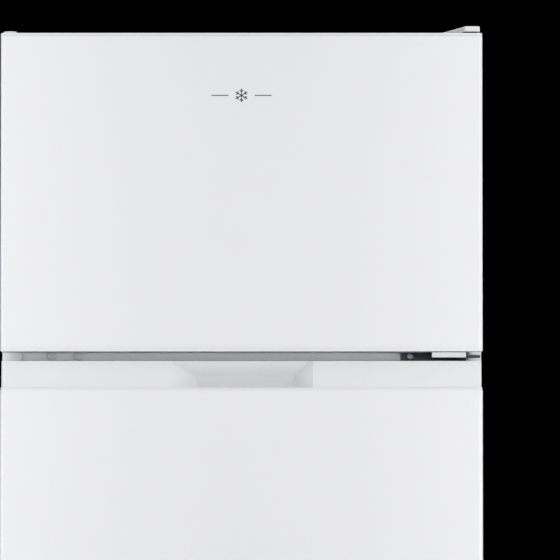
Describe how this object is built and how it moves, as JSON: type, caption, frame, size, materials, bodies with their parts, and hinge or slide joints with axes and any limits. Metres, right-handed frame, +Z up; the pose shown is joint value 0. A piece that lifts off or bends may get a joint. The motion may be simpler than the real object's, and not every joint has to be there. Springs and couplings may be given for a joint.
{
  "type": "top freezer refrigerator",
  "caption": "Two-door refrigerator, freezer above, doors hinged on the right, moulded handle strip along the lower door's top and a wire condenser on the back.",
  "frame": {"origin": "on the floor, below the centre of the overall box", "axes": "doors face -Y, hinges at +X, +Z up"},
  "size_m": [0.545, 0.555, 1.43],
  "materials": {
    "white_enamel": "pre-painted gloss white steel sheet",
    "white_plastic": "satin white ABS",
    "grey_plastic": "satin light grey ABS",
    "liner_plastic": "thermoformed white high-impact polystyrene",
    "clear_plastic": "clear injection-moulded polystyrene",
    "shelf_glass": "toughened shelf glass",
    "rail_grey": "grey painted steel rail",
    "zinc_sheet": "galvanised steel sheet",
    "dark_zinc": "dark zinc-plated steel",
    "black_steel": "black stove-enamelled steel",
    "black_plastic": "black polypropylene and nylon",
    "gasket": "soft white PVC seal with a magnetic strip",
    "foam": "rigid polyurethane foam",
    "evaporator": "roll-bonded aluminium sheet"
  },
  "bodies": {
    "cabinet": {"outer_shell": "white_enamel", "top_hinge_cover": "white_plastic", "rail_end_cap": "white_plastic", "hinge_spacer_upper": "white_plastic", "hinge_spacer_lower": "white_plastic", "thermostat_housing": "white_plastic", "plinth": "grey_plastic", "screw_plug_outer": "grey_plastic", "screw_plug_inner": "grey_plastic", "freezer_liner": "liner_plastic", "fridge_liner": "liner_plastic", "lamp_lens": "clear_plastic", "shelf_upper": "shelf_glass", "shelf_lower": "shelf_glass", "crisper_cover": "shelf_glass", "freezer_shelf": "shelf_glass", "centre_rail": "rail_grey", "back_panel": "zinc_sheet", "base_pan": "zinc_sheet", "front_base_rail": "zinc_sheet", "compressor_plate": "zinc_sheet", "middle_hinge_screw": "zinc_sheet", "top_hinge": "dark_zinc", "middle_hinge": "dark_zinc", "bottom_hinge": "dark_zinc", "condenser_coil": "black_steel", "condenser_wires": "black_steel", "compressor": "black_steel", "relay_cover": "black_plastic", "drip_tray": "black_plastic", "cable_gland": "black_plastic", "cabinet_foam": "foam", "freezer_evaporator": "evaporator", "fridge_evaporator": "evaporator"},
    "freezer_door": {"freezer_door_skin": "white_enamel", "freezer_door_foam": "foam", "freezer_door_liner": "liner_plastic", "freezer_door_top_cap": "white_plastic", "freezer_door_bottom_cap": "grey_plastic", "freezer_door_gasket": "gasket", "freezer_door_bin": "clear_plastic", "freezer_door_hole_plug": "white_plastic"},
    "fridge_door": {"fridge_door_skin": "white_enamel", "fridge_door_foam": "foam", "fridge_door_liner": "liner_plastic", "fridge_door_top_cap": "white_plastic", "fridge_door_bottom_cap": "grey_plastic", "fridge_door_gasket": "gasket", "fridge_door_bin_upper": "clear_plastic", "fridge_door_bin_middle": "clear_plastic", "fridge_door_bottle_bin": "clear_plastic"},
    "crisper": {"crisper_drawer": "clear_plastic"},
    "knob": {"thermostat_knob": "white_plastic"},
    "light_switch": {"light_switch_plunger": "white_plastic"},
    "left_foot": {"front_foot_left": "black_plastic"},
    "right_foot": {"front_foot_right": "black_plastic"},
    "left_roller": {"rear_roller_left": "black_plastic"},
    "right_roller": {"rear_roller_right": "black_plastic"}
  },
  "joints": [
    {"name": "freezer_door_swing", "type": "hinge", "parent": "cabinet", "child": "freezer_door", "pos_m": [0.2625, -0.256, 1.243], "axis": [0, 0, 1], "range_deg": [0, 120]},
    {"name": "fridge_door_swing", "type": "hinge", "parent": "cabinet", "child": "fridge_door", "pos_m": [0.2625, -0.256, 0.546], "axis": [0, 0, 1], "range_deg": [0, 120]},
    {"name": "crisper_slide", "type": "slide", "parent": "cabinet", "child": "crisper", "axis": [0, -1, 0], "range_m": [0, 0.03]},
    {"name": "thermostat_turn", "type": "hinge", "parent": "cabinet", "child": "knob", "pos_m": [0.06, -0.18, 0.999], "axis": [0, -1, 0], "range_deg": [0, 270]},
    {"name": "light_switch_travel", "type": "slide", "parent": "cabinet", "child": "light_switch", "axis": [0, -1, 0], "range_m": [0, 0.006]},
    {"name": "left_foot_turn", "type": "hinge", "parent": "cabinet", "child": "left_foot", "pos_m": [-0.225, -0.18, 0.005], "axis": [0, 0, 1], "continuous": true},
    {"name": "right_foot_turn", "type": "hinge", "parent": "cabinet", "child": "right_foot", "pos_m": [0.225, -0.18, 0.005], "axis": [0, 0, 1], "continuous": true},
    {"name": "left_roller_spin", "type": "hinge", "parent": "cabinet", "child": "left_roller", "pos_m": [-0.234, 0.205, 0.015], "axis": [1, 0, 0], "continuous": true},
    {"name": "right_roller_spin", "type": "hinge", "parent": "cabinet", "child": "right_roller", "pos_m": [0.234, 0.205, 0.015], "axis": [1, 0, 0], "continuous": true}
  ],
  "couplings": [
    {"joint": "light_switch_travel", "follows": "fridge_door_swing", "m_per_rad": 0.002865}
  ]
}
